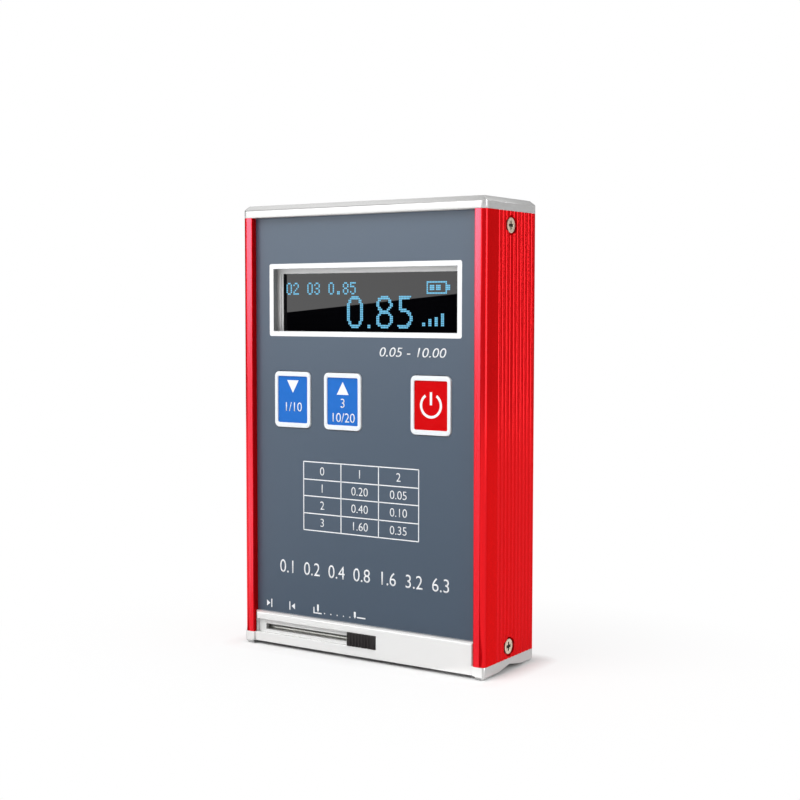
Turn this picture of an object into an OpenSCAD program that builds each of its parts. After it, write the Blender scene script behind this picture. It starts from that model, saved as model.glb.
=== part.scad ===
// Pocket surface roughness tester: an extruded case between two machined end caps,
// with a display, three keys, and a motor-driven stylus behind a hand-slid shutter.
// Millimetres. Origin at the middle of the base, on the plane of the feet.
// +X is to the right as seen from the front, +Y to the back, +Z up.

/* [Case] */
// Width of the case
case_w = 70; // [68:0.5:80]
// Depth of the case, front to back
case_d = 24; // [24:0.5:30]
// Height over both end caps
case_h = 110; // [108:0.5:130]
// Height of each end cap outside the extrusion
cap_h = 3; // [3:0.1:4]
// Radius of the upright corners
corner_r = 1; // [0.6:0.1:1.4]
// Thickness of the side walls
side_wall = 2.4; // [2.2:0.1:3]
// Thickness of the back wall
back_wall = 2; // [1.4:0.1:2.2]
// Width of each front rail
rail_w = 3; // [2.6:0.1:3.4]
// Chamfer round the top cap
cap_chamfer = 1.2; // [0.6:0.1:1.6]

/* [Side grip ribs] */
// Number of grooves on each side
groove_count = 10; // [4:1:11]
// Distance between grooves
groove_pitch = 1.72; // [1.5:0.02:1.8]
// Radius of each groove
groove_r = 0.45; // [0.3:0.05:0.55]
// Depth of each groove
groove_depth = 0.35; // [0.15:0.05:0.45]

/* [Front panel] */
// Depth of the panel behind the rails
panel_recess = 1.7; // [1.3:0.1:2]
// Thickness of the panel
panel_t = 1.5; // [1.2:0.1:1.8]
// How far the panel runs into each rail
panel_tongue = 1.2; // [0.8:0.1:1.4]

/* [Display] */
// Distance from each rail to the display window
window_side = 5.4; // [4.6:0.1:9]
// Height of the display window
window_h = 15.4; // [12:0.2:17]
// Distance from the top of the panel down to the window's middle
window_drop = 20.3; // [18:0.1:24]

/* [Keys] */
// Width of a key
key_w = 10.9; // [9:0.1:11.5]
// Height of a key
key_h = 13.8; // [11:0.1:14.4]
// How far a key travels when pressed
key_travel = 0.5; // [0.3:0.05:0.6]
// Distance from the window's middle down to the keys' middle
key_drop = 24.5; // [23.5:0.1:28]
// Distance from the left rail to the middle of the left key
key_side = 11.4; // [10:0.1:12]
// Distance between the two blue keys
key_pitch = 15.1; // [13.6:0.1:18]
// Distance from the right rail to the middle of the power key
key_power_side = 12.4; // [10:0.1:13]

/* [Base] */
// Height of the front plate on the bottom cap
plate_top = 8.5; // [8.2:0.1:10]
// Depth of the groove under the base, which seats the tester on a round bar
vee_depth = 1.55; // [1:0.05:1.6]
// Half of the width of that groove
vee_half = 8.8; // [6:0.1:9]

/* [Shutter] */
// Length of the shutter's knob
knob_l = 8.5; // [7:0.1:9]
// Height of the shutter's knob
knob_h = 3.25; // [2.8:0.05:3.3]
// Travel of the shutter
shutter_travel = 27.4; // [26:0.1:28]
// Diameter of the rod that guides the shutter
shutter_rod_d = 1.2; // [0.8:0.05:1.3]

/* [Pickup and drive] */
// Travel of the stylus along the surface
traverse = 6; // [4:0.1:6.4]
// Length of the stylus arm, as a share of the case's width
arm_share = 0.342857; // [0.33:0.000001:0.37]
// Diameter of the stylus shank
stylus_d = 0.8; // [0.5:0.05:1]
// Diameter of the lead screw
lead_d = 2.4; // [2:0.1:2.6]
// Diameter of the two guide rods
guide_d = 2; // [1.6:0.1:2.4]
// Room between the motor and the back wall
motor_clear = 2.7; // [2.5:0.1:4.5]
// Length of the motor
motor_l = 8; // [6:0.1:9]

/* [Inside] */
// Thickness of the main board
board_t = 1.6; // [1:0.1:1.6]
// Width of the battery
battery_w = 36; // [24:0.5:44]
// Height of the battery
battery_h = 52; // [40:0.5:54]
// Thickness of the battery
battery_t = 5.5; // [4:0.1:6]

/* [Fasteners] */
// Diameter of the side screws
screw_d = 2; // [1.6:0.1:2.2]
// Diameter of the side screws' heads
screw_head_d = 3.6; // [3:0.1:4]
// Diameter of the sunk seats of those heads
seat_d = 4.6; // [4.2:0.1:5]

/* [Hidden] */
$fn = 48;

// Clearances
fit = 0.05;          // sliding fit, each side
gap = 0.15;          // running gap, each side
over = 1;            // length by which a cut runs past a face

// Case
half_w = case_w / 2;
front_y = -case_d / 2;
back_y = case_d / 2;
body_z0 = cap_h;
body_z1 = case_h - cap_h;
inner_x = half_w - side_wall;
inner_back = back_y - back_wall;
rail_x = half_w - rail_w;
groove_start = 5.7;  // first groove, in front of the middle

// Front panel and the slots that hold it
panel_y = front_y + panel_recess;
panel_back = panel_y + panel_t;
panel_half = rail_x + panel_tongue;
flange_t = 1.2;
flange_w = 0.8;
cavity_front = panel_back + fit + flange_t;

// Main board and its slots in the side walls
board_gap = 4.6;
board_slot = 1;
board_y = panel_back + board_gap;
board_back = board_y + board_t;
board_half = inner_x + board_slot - fit;

// Ears on the caps, which take the side screws
ear_t = 3;
ear_h = 6;
ear_back = 2.4;
ear_x = inner_x - fit;
screw_rise = 2.7;    // screw axis above the extrusion's lower end
screw_fall = 3.25;   // screw axis below its upper end
strip_t = 1.5;       // strips that locate the top cap
seat_depth = 1.3;
head_t = 1.1;
recess_w = 0.6;      // width of one arm of the cross recess
recess_l = screw_head_d * 0.6;
recess_depth = 0.5;
screw_len = 4;

// Display
window_w = 2 * (rail_x - window_side);
window_z = body_z1 - window_drop;
window_r = 0.5;
frame_gap = 0.8;     // panel to display frame
frame_y = panel_back + frame_gap;
frame_lip = 0.4;     // thickness of the frame in front of the glass
frame_wall = 1.2;
frame_lap_side = 0.5;
frame_lap_top = 1.2;
glass_edge = 2;      // glass hidden behind the frame, each side
glass_t = 1.4;
glass_w = window_w - 2 * frame_lap_side + 2 * glass_edge;
glass_h = window_h - frame_lap_top + 2 * glass_edge;
view_z = window_z - frame_lap_top / 2;
display_back = frame_y + frame_lip + glass_t;
display_board_t = 1;
display_board_side = 1.5;  // display board past the glass, at each side
display_board_head = 3.7;  // above it
display_board_foot = 1.9;  // and below it
display_board_w = glass_w + 2 * display_board_side;
display_board_h = glass_h + display_board_head + display_board_foot;
display_board_z = view_z + (display_board_head - display_board_foot) / 2;
spacer_d = 3;
spacer_inset = 1;
spacer_edge = 1.6;
spacer_x = glass_w / 2 - spacer_inset;
spacer_z = display_board_h / 2 - spacer_edge;
header_w = 20;
header_h = 2;

// Keys
key_left_x = key_side - rail_x;
key_middle_x = key_left_x + key_pitch;
key_power_x = rail_x - key_power_side;
key_z = window_z - key_drop;
key_r = 1.3;
key_proud = 0.35;    // height of a key above the panel
key_rim = 0.9;       // white border at the sides of a key
key_rim_end = 1.15;  // and at its top and bottom
label_t = 0.5;
label_sunk = 0.3;
key_flange = 0.8;    // width of the rim that holds a key behind the panel
key_flange_t = 0.8;
switch_w = 6;
switch_h = 3;
switch_top = board_y - switch_h;
plunger_d = 3.2;
plunger_clear = 1.3; // plunger to main board
plunger_end = board_y - plunger_clear;
flange_y = panel_back + 2 * fit;

// Base and the front plate on the bottom cap
foot_chamfer = 0.7;
foot_step = 0.5;     // the end feet start this far outside the rails' inner edges
foot_x = rail_x + foot_step;
plate_set = 0.4;     // plate behind the front of the rails
plate_y = front_y + plate_set;
plate_t = 2.2;
plate_back = plate_y + plate_t;
plate_half = rail_x - 2 * fit;
plate_bevel = 0.5;
plate_foot = 0.8;    // base between the feet, above their plane
pocket_depth = 1;
pocket_floor = plate_y + pocket_depth;
pocket_margin = 0.6;
pocket_rise = 1.77;
pocket_z = cap_h + pocket_rise;
slot_h = 1.35;
slot_rise = 1.52;
slot_z = cap_h + slot_rise;

// Shutter, drawn open, with the knob at the right end of its pocket
knob_slack_left = 0.25;
knob_slack_right = 0.1;
pocket_x0 = pocket_margin - plate_half;
knob_x0 = pocket_x0 + knob_slack_left + shutter_travel;
pocket_x1 = knob_x0 + knob_l + knob_slack_right;
knob_front = front_y + gap;
knob_back = pocket_floor - fit;
knob_round = 0.6;
knob_grip_n = 7;
knob_grip_pitch = 0.9;
knob_grip_r = 0.22;
stem_inset = 2.2;
stem_x0 = knob_x0 + stem_inset;
stem_l = 4.2;
slot_x0 = stem_x0 - shutter_travel - 2 * gap;
slot_x1 = stem_x0 + stem_l + gap;
stem_h = slot_h - 4 * fit;
runner_inset = 1.05;
runner_x0 = knob_x0 + runner_inset;
runner_front = plate_back + gap;
runner_t = 2.4;
runner_back = runner_front + runner_t;
runner_h = 3.15;
runner_z0 = cap_h + gap;
runner_z1 = runner_z0 + runner_h;
rod_inset = 1.05;
rod_rise = 0.95;
rod_y = runner_front + rod_inset;
rod_z = cap_h + rod_rise;
leaf_t = 0.4;
leaf_depth = 0.75;   // depth of the shutter's channel in the floor
leaf_trim = 0.4;
leaf_z = cap_h - leaf_depth + gap;
leaf_back = 2.6;
probe_room = 2.6;    // opening longer than the stylus travel
probe_margin = 1.2;
probe_w = traverse + probe_room;
leaf_l = probe_w + 2 * probe_margin - leaf_trim;
closed_x0 = runner_x0 - shutter_travel;
probe_x0 = closed_x0 + probe_margin;
probe_half = 1.6;
rod_post_t = 0.9;
rod_post_wall = 1;
rod_post_head = 1.4;
rod_post_x = [closed_x0 - gap - rod_post_t, runner_x0 + leaf_l + 3 * gap];

// Pickup
stylus_inset = 1.5;
stylus_x = probe_x0 + stylus_inset;
stylus_rest = 0.05;  // tip above the plane of the feet
arm_l = case_w * arm_share;
pivot_x = stylus_x + arm_l;
pivot_rise = 4.5;
pivot_z = cap_h + pivot_rise;
pivot_d = 1;
arm_d = 1.4;
hub_d = 2.6;
hub_t = 1.6;
holder_d = 2.2;
holder_h = 2.2;
tail_l = 3.6;
pickup_nose = 3.7;   // block in front of the pivot
pickup_x0 = pivot_x - pickup_nose;
pickup_l = 12;
pickup_gap = 0.4;    // block to main board
pickup_y0 = board_back + pickup_gap;
pickup_y1 = 2.9;
pickup_drop = 2.1;
pickup_z0 = pivot_z - pickup_drop;
slit_half = 0.9;
slit_l = 8;
coil_d = 1.6;
coil_h = 2.8;

// Drive, set off from the back wall and the main board
frame_t = 1.5;
frame_clear = 0.2;
carriage_clear = 0.3;
frame_back0 = inner_back - frame_clear - frame_t;
carriage_y1 = frame_back0 - carriage_clear;
carriage_rise = 4.7;
carriage_z0 = pivot_z + carriage_rise;
carriage_h = 8;
motor_gap = 1.9;     // motor to main board
motor_d = inner_back - motor_clear - board_back - motor_gap;
lead_rise = 2.6;
lead_y = board_back + motor_gap + motor_d / 2;
lead_z = carriage_z0 + lead_rise;
guide_rise = 6;
guide_edge = 2;
guide_off = carriage_y1 - lead_y - guide_edge;
guide_y = [lead_y - guide_off, lead_y + guide_off];
guide_z = carriage_z0 + guide_rise;
journal_d = 1.5;
nut_d = 4;
nut_flange_d = 5;
nut_flange_t = 1;
nut_l = 6;
bush_d = 3;
frame_lead = 5.2;    // pickup to the frame's left cheek
frame_room = 1.5;    // nut to its right cheek, at the end of the travel
frame_left = pickup_x0 - frame_lead;
frame_right = pickup_x0 + pickup_l + nut_flange_t + traverse + frame_room;
frame_head = 0.4;
frame_top = carriage_z0 + carriage_h + frame_head;
frame_foot_w = 2.9;
frame_foot_y = frame_back0 - frame_foot_w;
frame_foot_t = 1.6;
cheek_inset = 0.4;
cheek_drop = 2;
gearbox_l = 4.5;
drive_screw_d = 1.6;
drive_screw_head_d = 2.8;
drive_screw_head_t = 1;
drive_screw_depth = 1.5;
drive_screw_inset = 3;
drive_screw_y = frame_foot_y + frame_foot_w / 2;
drive_screw_x = [frame_left + drive_screw_inset, frame_right - drive_screw_inset];

// Battery and board parts
pad_t = 0.5;
pad_inset = 4;
battery_y1 = inner_back - pad_t;
battery_y0 = battery_y1 - battery_t;
battery_rise = 13;   // drive frame to battery
battery_z0 = frame_top + battery_rise;
battery_z1 = battery_z0 + battery_h;
battery_round = 0.3; // share of the thickness
chip_t = 1.2;
processor_w = 10;
amplifier_w = 6;
chip_rise = 12;
chip_z = battery_z0 + chip_rise;
amplifier_x = -18;
plug_w = 6;
plug_h = 5;
plug_t = 3.2;
plug_x = 10;
plug_rise = 3;
plug_z = battery_z1 + plug_rise;
lead_wire_d = 1.1;
lead_pitch = 2;
socket_w = 9;
socket_t = 3.2;
socket_l = 8;
socket_rise = 1.5;
socket_top = body_z1 + socket_rise;
socket_gap = 0.2;
socket_wall = 0.3;

// Shared shapes
module rounded_rect(w, d, r) {
    square([w - 2 * r, d], center = true);
    square([w, d - 2 * r], center = true);
    for (x = [-1, 1], y = [-1, 1]) translate([x * (w / 2 - r), y * (d / 2 - r)]) circle(r);
}

// A block between two corners, each pair being lowest and highest
module span(x, y, z) {
    translate([x[0], y[0], z[0]]) cube([x[1] - x[0], y[1] - y[0], z[1] - z[0]]);
}

// A round bar along X, from x[0] to x[1]
module bar_x(d, x, y, z) {
    translate([x[0], y, z]) rotate([0, 90, 0]) cylinder(d = d, h = x[1] - x[0]);
}

// A round bar along Y, from y[0] to y[1]
module bar_y(d, x, y, z) {
    translate([x, y[0], z]) rotate([-90, 0, 0]) cylinder(d = d, h = y[1] - y[0]);
}

// An outline drawn in X and Z, run along Y from y[0] to y[1]
module along_y(y) {
    translate([0, y[1], 0]) rotate([90, 0, 0]) linear_extrude(y[1] - y[0]) children();
}

// An outline drawn in Y and Z, run along X from x[0] to x[1]
module along_x(x) {
    translate([x[0], 0, 0]) rotate([90, 0, 90]) linear_extrude(x[1] - x[0]) children();
}

// A slab w wide and h high whose two upper corners are cut off
module cut_corners(w, h, c) {
    polygon([[-w / 2, 0], [w / 2, 0], [w / 2, h - c], [w / 2 - c, h], [-w / 2 + c, h], [-w / 2, h - c]]);
}

// An end cap's plate, lying on z = 0 with its upper edge chamfered all round
module cap_plate(c) {
    intersection() {
        linear_extrude(cap_h) rounded_rect(case_w, case_d, corner_r);
        along_x([-half_w, half_w]) cut_corners(case_d, cap_h, c);
        along_y([front_y, back_y]) cut_corners(case_w, cap_h, c);
    }
}

// The two ears of a cap, from z[0] to z[1], tapped for the side screws at height axis_z
module ears(z, axis_z, y0) {
    for (side = [-1, 1]) difference() {
        span([min(side * ear_x, side * (ear_x - ear_t)), max(side * ear_x, side * (ear_x - ear_t))],
            [y0, ear_back], z);
        bar_x(screw_d, [-half_w, half_w], 0, axis_z);
    }
}

// Case
module body_section() {
    difference() {
        translate([0, (front_y + back_y) / 2]) rounded_rect(case_w, case_d, corner_r);
        translate([-inner_x, cavity_front]) square([2 * inner_x, inner_back - cavity_front]);
        translate([-rail_x, front_y - over]) square([2 * rail_x, panel_recess + over]);
        translate([-panel_half - fit, panel_y - fit]) square([2 * (panel_half + fit), panel_t + 2 * fit]);
        translate([-rail_x + flange_w, panel_y])
            square([2 * (rail_x - flange_w), cavity_front - panel_y + fit]);
        translate([-board_half - fit, board_y - fit]) square([2 * (board_half + fit), board_t + 2 * fit]);
        for (side = [-1, 1], i = [0:groove_count - 1])
            translate([side * (half_w + groove_r - groove_depth), -groove_start + i * groove_pitch])
                circle(groove_r);
    }
}

module body_shell() {
    color("#c8101a") difference() {
        translate([0, 0, body_z0]) linear_extrude(body_z1 - body_z0) body_section();
        for (z = [body_z0 + screw_rise, body_z1 - screw_fall]) {
            bar_x(screw_d + 2 * fit, [-half_w - over, half_w + over], 0, z);
            for (side = [-1, 1]) translate([side * (half_w - seat_depth), 0, z])
                rotate([0, side * 90, 0]) cylinder(d = seat_d, h = seat_depth + over);
        }
    }
}

module top_cap() {
    color("#d4d4d2") difference() {
        union() {
            translate([0, 0, body_z1]) cap_plate(cap_chamfer);
            ears([body_z1 - ear_h, body_z1], body_z1 - screw_fall, board_back + gap);
            for (y = [cavity_front + gap, inner_back - gap - strip_t])
                span([ear_t - ear_x, ear_x - ear_t], [y, y + strip_t], [body_z1 - strip_t, body_z1]);
        }
        translate([0, board_back + socket_t / 2, body_z1 - over]) linear_extrude(cap_h + 2 * over)
            rounded_rect(socket_w + 2 * socket_gap, socket_t + 2 * socket_gap, socket_t / 2);
    }
}

// The bottom cap's base, with the long groove under it and a foot along each end
module base_plate() {
    difference() {
        translate([0, 0, cap_h]) mirror([0, 0, 1]) cap_plate(foot_chamfer);
        along_x([-half_w - over, half_w + over])
            polygon([[-vee_half, 0], [-vee_half, -over], [vee_half, -over], [vee_half, 0], [0, vee_depth]]);
        span([-foot_x, foot_x], [front_y - over, back_y + over], [-over, plate_foot]);
        span([-plate_half, plate_half], [front_y - over, plate_y], [-over, cap_h + over]);
    }
}

// The plate between the rails, bevelled along its front edges
module front_plate() {
    intersection() {
        translate([0, 0, plate_foot]) linear_extrude(plate_top - plate_foot)
            polygon([[-plate_half, plate_back], [-plate_half, plate_y + plate_bevel],
                [-plate_half + plate_bevel, plate_y], [plate_half - plate_bevel, plate_y],
                [plate_half, plate_y + plate_bevel], [plate_half, plate_back]]);
        along_x([-plate_half, plate_half])
            polygon([[plate_back, 0], [plate_y, 0], [plate_y, plate_top - plate_bevel],
                [plate_y + plate_bevel, plate_top], [plate_back, plate_top]]);
    }
}

module bottom_cap() {
    color("#e2e2e0") difference() {
        union() {
            base_plate();
            front_plate();
            ears([body_z0 - fit, body_z0 + ear_h], body_z0 + screw_rise, board_y - gap);
            for (x = rod_post_x)
                span([x, x + rod_post_t], [plate_back - fit, rod_y + rod_post_wall],
                    [cap_h - leaf_depth, rod_z + rod_post_head]);
        }
        span([pocket_x0, pocket_x1], [plate_y - over, pocket_floor],
            [pocket_z - knob_h / 2 - fit, pocket_z + knob_h / 2 + fit]);
        span([slot_x0, slot_x1], [pocket_floor - over, plate_back + fit],
            [slot_z - slot_h / 2, slot_z + slot_h / 2]);
        span([closed_x0 - gap, runner_x0 + leaf_l + gap], [plate_back, leaf_back + gap],
            [cap_h - leaf_depth, cap_h + over]);
        span([probe_x0, probe_x0 + probe_w], [-probe_half, probe_half], [-over, cap_h + over]);
        bar_x(shutter_rod_d, [rod_post_x[0], rod_post_x[1] + rod_post_t], rod_y, rod_z);
        for (x = drive_screw_x) translate([x, drive_screw_y, cap_h - drive_screw_depth])
            cylinder(d = drive_screw_d, h = drive_screw_depth + over);
    }
}

module front_panel() {
    color("#56616f") difference() {
        span([-panel_half, panel_half], [panel_y, panel_back], [plate_top, body_z1 - fit]);
        along_y([panel_y - over, panel_back + over]) translate([0, window_z])
            rounded_rect(window_w, window_h, window_r);
        for (x = [key_left_x, key_middle_x, key_power_x])
            along_y([panel_y - over, panel_back + over]) translate([x, key_z])
                rounded_rect(key_w + 2 * gap, key_h + 2 * gap, key_r + gap);
    }
}

// A side screw with its head's outer face at x = 0, pointing along -X
module side_screw() {
    difference() {
        union() {
            bar_x(screw_head_d, [-head_t, 0], 0, 0);
            bar_x(screw_d, [-head_t - screw_len, -head_t], 0, 0);
        }
        for (turn = [0, 90]) rotate([turn, 0, 0])
            span([-recess_depth, over], [-recess_w / 2, recess_w / 2], [-recess_l / 2, recess_l / 2]);
    }
}

module side_screws() {
    head_x = half_w - seat_depth + head_t;
    color("#b9b9b6") for (z = [body_z0 + screw_rise, body_z1 - screw_fall], side = [0, 1])
        mirror([side, 0, 0]) translate([head_x, 0, z]) side_screw();
}

// Display
module display_frame() {
    outer_w = glass_w + 2 * (frame_wall + fit);
    outer_h = glass_h + 2 * (frame_wall + fit);
    color("#c9ccd0") difference() {
        along_y([frame_y, display_back]) translate([0, view_z]) square([outer_w, outer_h], center = true);
        along_y([frame_y - over, display_back]) translate([0, view_z])
            square([glass_w - 2 * glass_edge, glass_h - 2 * glass_edge], center = true);
        along_y([frame_y + frame_lip, display_back + over]) translate([0, view_z])
            square([glass_w + 2 * fit, glass_h + 2 * fit], center = true);
    }
}

module display_glass() {
    color("#101012") along_y([frame_y + frame_lip, display_back]) translate([0, view_z])
        square([glass_w, glass_h], center = true);
}

module display_board() {
    color("#1f5a3c") along_y([display_back, display_back + display_board_t]) translate([0, display_board_z])
        square([display_board_w, display_board_h], center = true);
}

module display_spacers() {
    color("#c9a44c") for (x = [-spacer_x, spacer_x], z = [-spacer_z, spacer_z])
        bar_y(spacer_d, x, [display_back + display_board_t, board_y], display_board_z + z);
}

module display_header() {
    color("#222224") along_y([display_back + display_board_t, board_y])
        translate([0, display_board_z + spacer_z]) square([header_w, header_h], center = true);
}

// Boards and power
module main_board() {
    color("#1d6b45")
        span([-board_half, board_half], [board_y, board_back], [body_z0 + ear_h, body_z1 - fit]);
}

// A chip w wide and high on the back of the main board
module chip(x, z, w) {
    span([x - w / 2, x + w / 2], [board_back, board_back + chip_t], [z - w / 2, z + w / 2]);
}

module processor_chip() {
    color("#1c1c1e") chip(0, chip_z, processor_w);
}

module amplifier_chip() {
    color("#1c1c1e") chip(amplifier_x, chip_z, amplifier_w);
}

module charge_socket() {
    color("#b4b6b8") translate([0, board_back + socket_t / 2, socket_top - socket_l]) difference() {
        linear_extrude(socket_l) rounded_rect(socket_w, socket_t, socket_t / 2 - socket_wall);
        translate([0, 0, socket_l / 4]) linear_extrude(socket_l)
            rounded_rect(socket_w - 2 * socket_wall, socket_t - 2 * socket_wall,
                socket_t / 2 - 2 * socket_wall);
    }
}

module battery_pad() {
    half = battery_w / 2 - pad_inset;
    color("#3a3a3c") span([-half, half], [battery_y1, inner_back],
        [battery_z0 + pad_inset, battery_z1 - pad_inset]);
}

module battery_cell() {
    color("#9aa4b0") along_x([-battery_w / 2, battery_w / 2])
        translate([(battery_y0 + battery_y1) / 2, (battery_z0 + battery_z1) / 2])
            rounded_rect(battery_t, battery_h, battery_t * battery_round);
}

module battery_plug() {
    color("#e8e6dc")
        span([plug_x, plug_x + plug_w], [board_back, board_back + plug_t], [plug_z, plug_z + plug_h]);
}

// Two wires from the plug's back, over to the battery and down to its top
module battery_leads() {
    bend_y = (battery_y0 + battery_y1) / 2;
    wire_z = plug_z + plug_h / 2;
    color("#b02020") for (i = [-1, 1]) {
        x = plug_x + plug_w / 2 + i * lead_pitch / 2;
        bar_y(lead_wire_d, x, [board_back + plug_t, bend_y], wire_z);
        translate([x, bend_y, wire_z]) sphere(d = lead_wire_d);
        translate([x, bend_y, battery_z1]) cylinder(d = lead_wire_d, h = wire_z - battery_z1);
    }
}

// Keys
module key_switch(x) {
    color("#2a2a2c") difference() {
        along_y([switch_top, board_y]) translate([x, key_z]) square(switch_w, center = true);
        bar_y(plunger_d + 2 * gap, x, [switch_top - over, plunger_end + key_travel + gap], key_z);
    }
}

module key_plunger(x) {
    color("#d8d4c4") bar_y(plunger_d, x, [flange_y + key_flange_t, plunger_end], key_z);
}

module key_cap(x) {
    face = panel_y - key_proud;
    color("#f0f0ee") difference() {
        union() {
            along_y([face, flange_y]) translate([x, key_z]) rounded_rect(key_w, key_h, key_r);
            along_y([flange_y, flange_y + key_flange_t]) translate([x, key_z])
                rounded_rect(key_w + 2 * key_flange, key_h + 2 * key_flange, key_r);
        }
        along_y([face - over, face + label_sunk + label_t]) translate([x, key_z])
            rounded_rect(key_w - 2 * key_rim, key_h - 2 * key_rim_end, key_r - key_rim);
    }
}

module key_label(x, tint) {
    face = panel_y - key_proud + label_sunk;
    color(tint) along_y([face, face + label_t]) translate([x, key_z])
        rounded_rect(key_w - 2 * key_rim, key_h - 2 * key_rim_end, key_r - key_rim);
}

module key_switch_left() key_switch(key_left_x);
module key_switch_middle() key_switch(key_middle_x);
module key_switch_power() key_switch(key_power_x);
module key_plunger_left() key_plunger(key_left_x);
module key_plunger_middle() key_plunger(key_middle_x);
module key_plunger_power() key_plunger(key_power_x);
module key_cap_left() key_cap(key_left_x);
module key_cap_middle() key_cap(key_middle_x);
module key_cap_power() key_cap(key_power_x);
module key_label_left() key_label(key_left_x, "#1f66cc");
module key_label_middle() key_label(key_middle_x, "#1f66cc");
module key_label_power() key_label(key_power_x, "#e01018");

// Shutter
module shutter_rod() {
    color("#c6c8ca") bar_x(shutter_rod_d, [rod_post_x[0], rod_post_x[1] + rod_post_t], rod_y, rod_z);
}

// The knob's outline from above, with rounded ends and fine grip grooves
module knob_outline() {
    middle = knob_x0 + knob_l / 2;
    difference() {
        union() {
            translate([knob_x0, knob_front + knob_round])
                square([knob_l, knob_back - knob_front - knob_round]);
            translate([knob_x0 + knob_round, knob_front]) square([knob_l - 2 * knob_round, knob_round]);
            for (x = [knob_x0 + knob_round, knob_x0 + knob_l - knob_round])
                translate([x, knob_front + knob_round]) circle(knob_round);
        }
        for (i = [0:knob_grip_n - 1])
            translate([middle + (i - (knob_grip_n - 1) / 2) * knob_grip_pitch, knob_front])
                circle(knob_grip_r);
    }
}

module shutter_knob() {
    color("#242426") {
        translate([0, 0, pocket_z - knob_h / 2]) linear_extrude(knob_h) knob_outline();
        span([stem_x0, stem_x0 + stem_l], [knob_front + knob_round, runner_front],
            [slot_z - stem_h / 2, slot_z + stem_h / 2]);
    }
}

module shutter_runner() {
    color("#3c3c40") difference() {
        span([runner_x0, runner_x0 + leaf_l], [runner_front, runner_back], [runner_z0, runner_z1]);
        bar_x(shutter_rod_d + 2 * fit, [runner_x0 - over, runner_x0 + leaf_l + over], rod_y, rod_z);
    }
}

// A folded strip: upright behind the runner, flat over the floor of the base
module shutter_plate() {
    color("#b8babc") along_x([runner_x0, runner_x0 + leaf_l])
        polygon([[runner_back, leaf_z], [leaf_back, leaf_z], [leaf_back, leaf_z + leaf_t],
            [runner_back + leaf_t, leaf_z + leaf_t], [runner_back + leaf_t, runner_z1],
            [runner_back, runner_z1]]);
}

// Drive
module drive_frame() {
    y0 = pickup_y0 + cheek_inset;
    color("#8d9196") difference() {
        union() {
            span([frame_left, frame_right + frame_t], [frame_back0, frame_back0 + frame_t],
                [cap_h, frame_top]);
            span([frame_left, frame_right + frame_t], [frame_foot_y, frame_back0 + fit],
                [cap_h, cap_h + frame_foot_t]);
            span([frame_left, frame_left + frame_t], [y0, frame_back0 + fit], [carriage_z0, frame_top]);
            span([frame_right, frame_right + frame_t], [y0, frame_back0 + fit],
                [carriage_z0 - cheek_drop, frame_top]);
        }
        for (y = guide_y) bar_x(guide_d, [frame_left - over, frame_right + frame_t + over], y, guide_z);
        bar_x(bush_d, [frame_left - over, frame_left + frame_t + over], lead_y, lead_z);
        bar_x(journal_d + 2 * gap, [frame_right - over, frame_right + frame_t + over], lead_y, lead_z);
        for (x = drive_screw_x) translate([x, drive_screw_y, 0]) cylinder(d = drive_screw_d, h = case_h);
    }
}

module drive_screws() {
    seat = cap_h + frame_foot_t;
    color("#a8aaac") for (x = drive_screw_x) translate([x, drive_screw_y, 0]) {
        translate([0, 0, seat]) cylinder(d = drive_screw_head_d, h = drive_screw_head_t);
        translate([0, 0, cap_h - drive_screw_depth])
            cylinder(d = drive_screw_d, h = seat - cap_h + drive_screw_depth);
    }
}

module guide_rods() {
    color("#c6c8ca") for (y = guide_y) bar_x(guide_d, [frame_left, frame_right + frame_t], y, guide_z);
}

module screw_bush() {
    color("#c9a44c") difference() {
        bar_x(bush_d, [frame_left, frame_left + frame_t], lead_y, lead_z);
        bar_x(journal_d + 2 * fit, [frame_left - over, frame_left + frame_t + over], lead_y, lead_z);
    }
}

module drive_gearbox() {
    x = frame_right + frame_t;
    color("#b08d4a") bar_x(motor_d, [x, x + gearbox_l], lead_y, lead_z);
}

module drive_motor() {
    x = frame_right + frame_t + gearbox_l;
    color("#a2a6aa") bar_x(motor_d, [x, x + motor_l], lead_y, lead_z);
}

module lead_screw() {
    color("#c6c8ca") {
        bar_x(lead_d, [frame_left + frame_t + gap, frame_right - gap], lead_y, lead_z);
        bar_x(journal_d, [frame_left, frame_right + frame_t - gap], lead_y, lead_z);
    }
}

module lead_nut() {
    x = pickup_x0 + pickup_l;
    color("#c9a44c") difference() {
        union() {
            bar_x(nut_d, [x - nut_l, x], lead_y, lead_z);
            bar_x(nut_flange_d, [x, x + nut_flange_t], lead_y, lead_z);
        }
        bar_x(lead_d + 2 * fit, [x - nut_l - over, x + nut_flange_t + over], lead_y, lead_z);
    }
}

module carriage() {
    x = [pickup_x0, pickup_x0 + pickup_l];
    color("#4a4e54") difference() {
        span(x, [pickup_y0, carriage_y1], [carriage_z0, carriage_z0 + carriage_h]);
        for (y = guide_y) bar_x(guide_d + 2 * fit, [x[0] - over, x[1] + over], y, guide_z);
        bar_x(lead_d + 2 * gap, [x[0] - over, x[1] + over], lead_y, lead_z);
        bar_x(nut_d, [x[1] - nut_l, x[1] + over], lead_y, lead_z);
    }
}

// The block under the carriage, slit for the arm
module pickup_body() {
    color("#a2a6aa") difference() {
        span([pickup_x0, pickup_x0 + pickup_l], [pickup_y0, pickup_y1], [pickup_z0, carriage_z0]);
        span([pickup_x0 - over, pickup_x0 + slit_l], [-slit_half, slit_half],
            [pickup_z0 - over, carriage_z0 + over]);
        bar_y(pivot_d, pivot_x, [pickup_y0 - over, pickup_y1 + over], pivot_z);
    }
}

module pivot_pin() {
    color("#c6c8ca") bar_y(pivot_d, pivot_x, [pickup_y0, pickup_y1], pivot_z);
}

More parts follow.
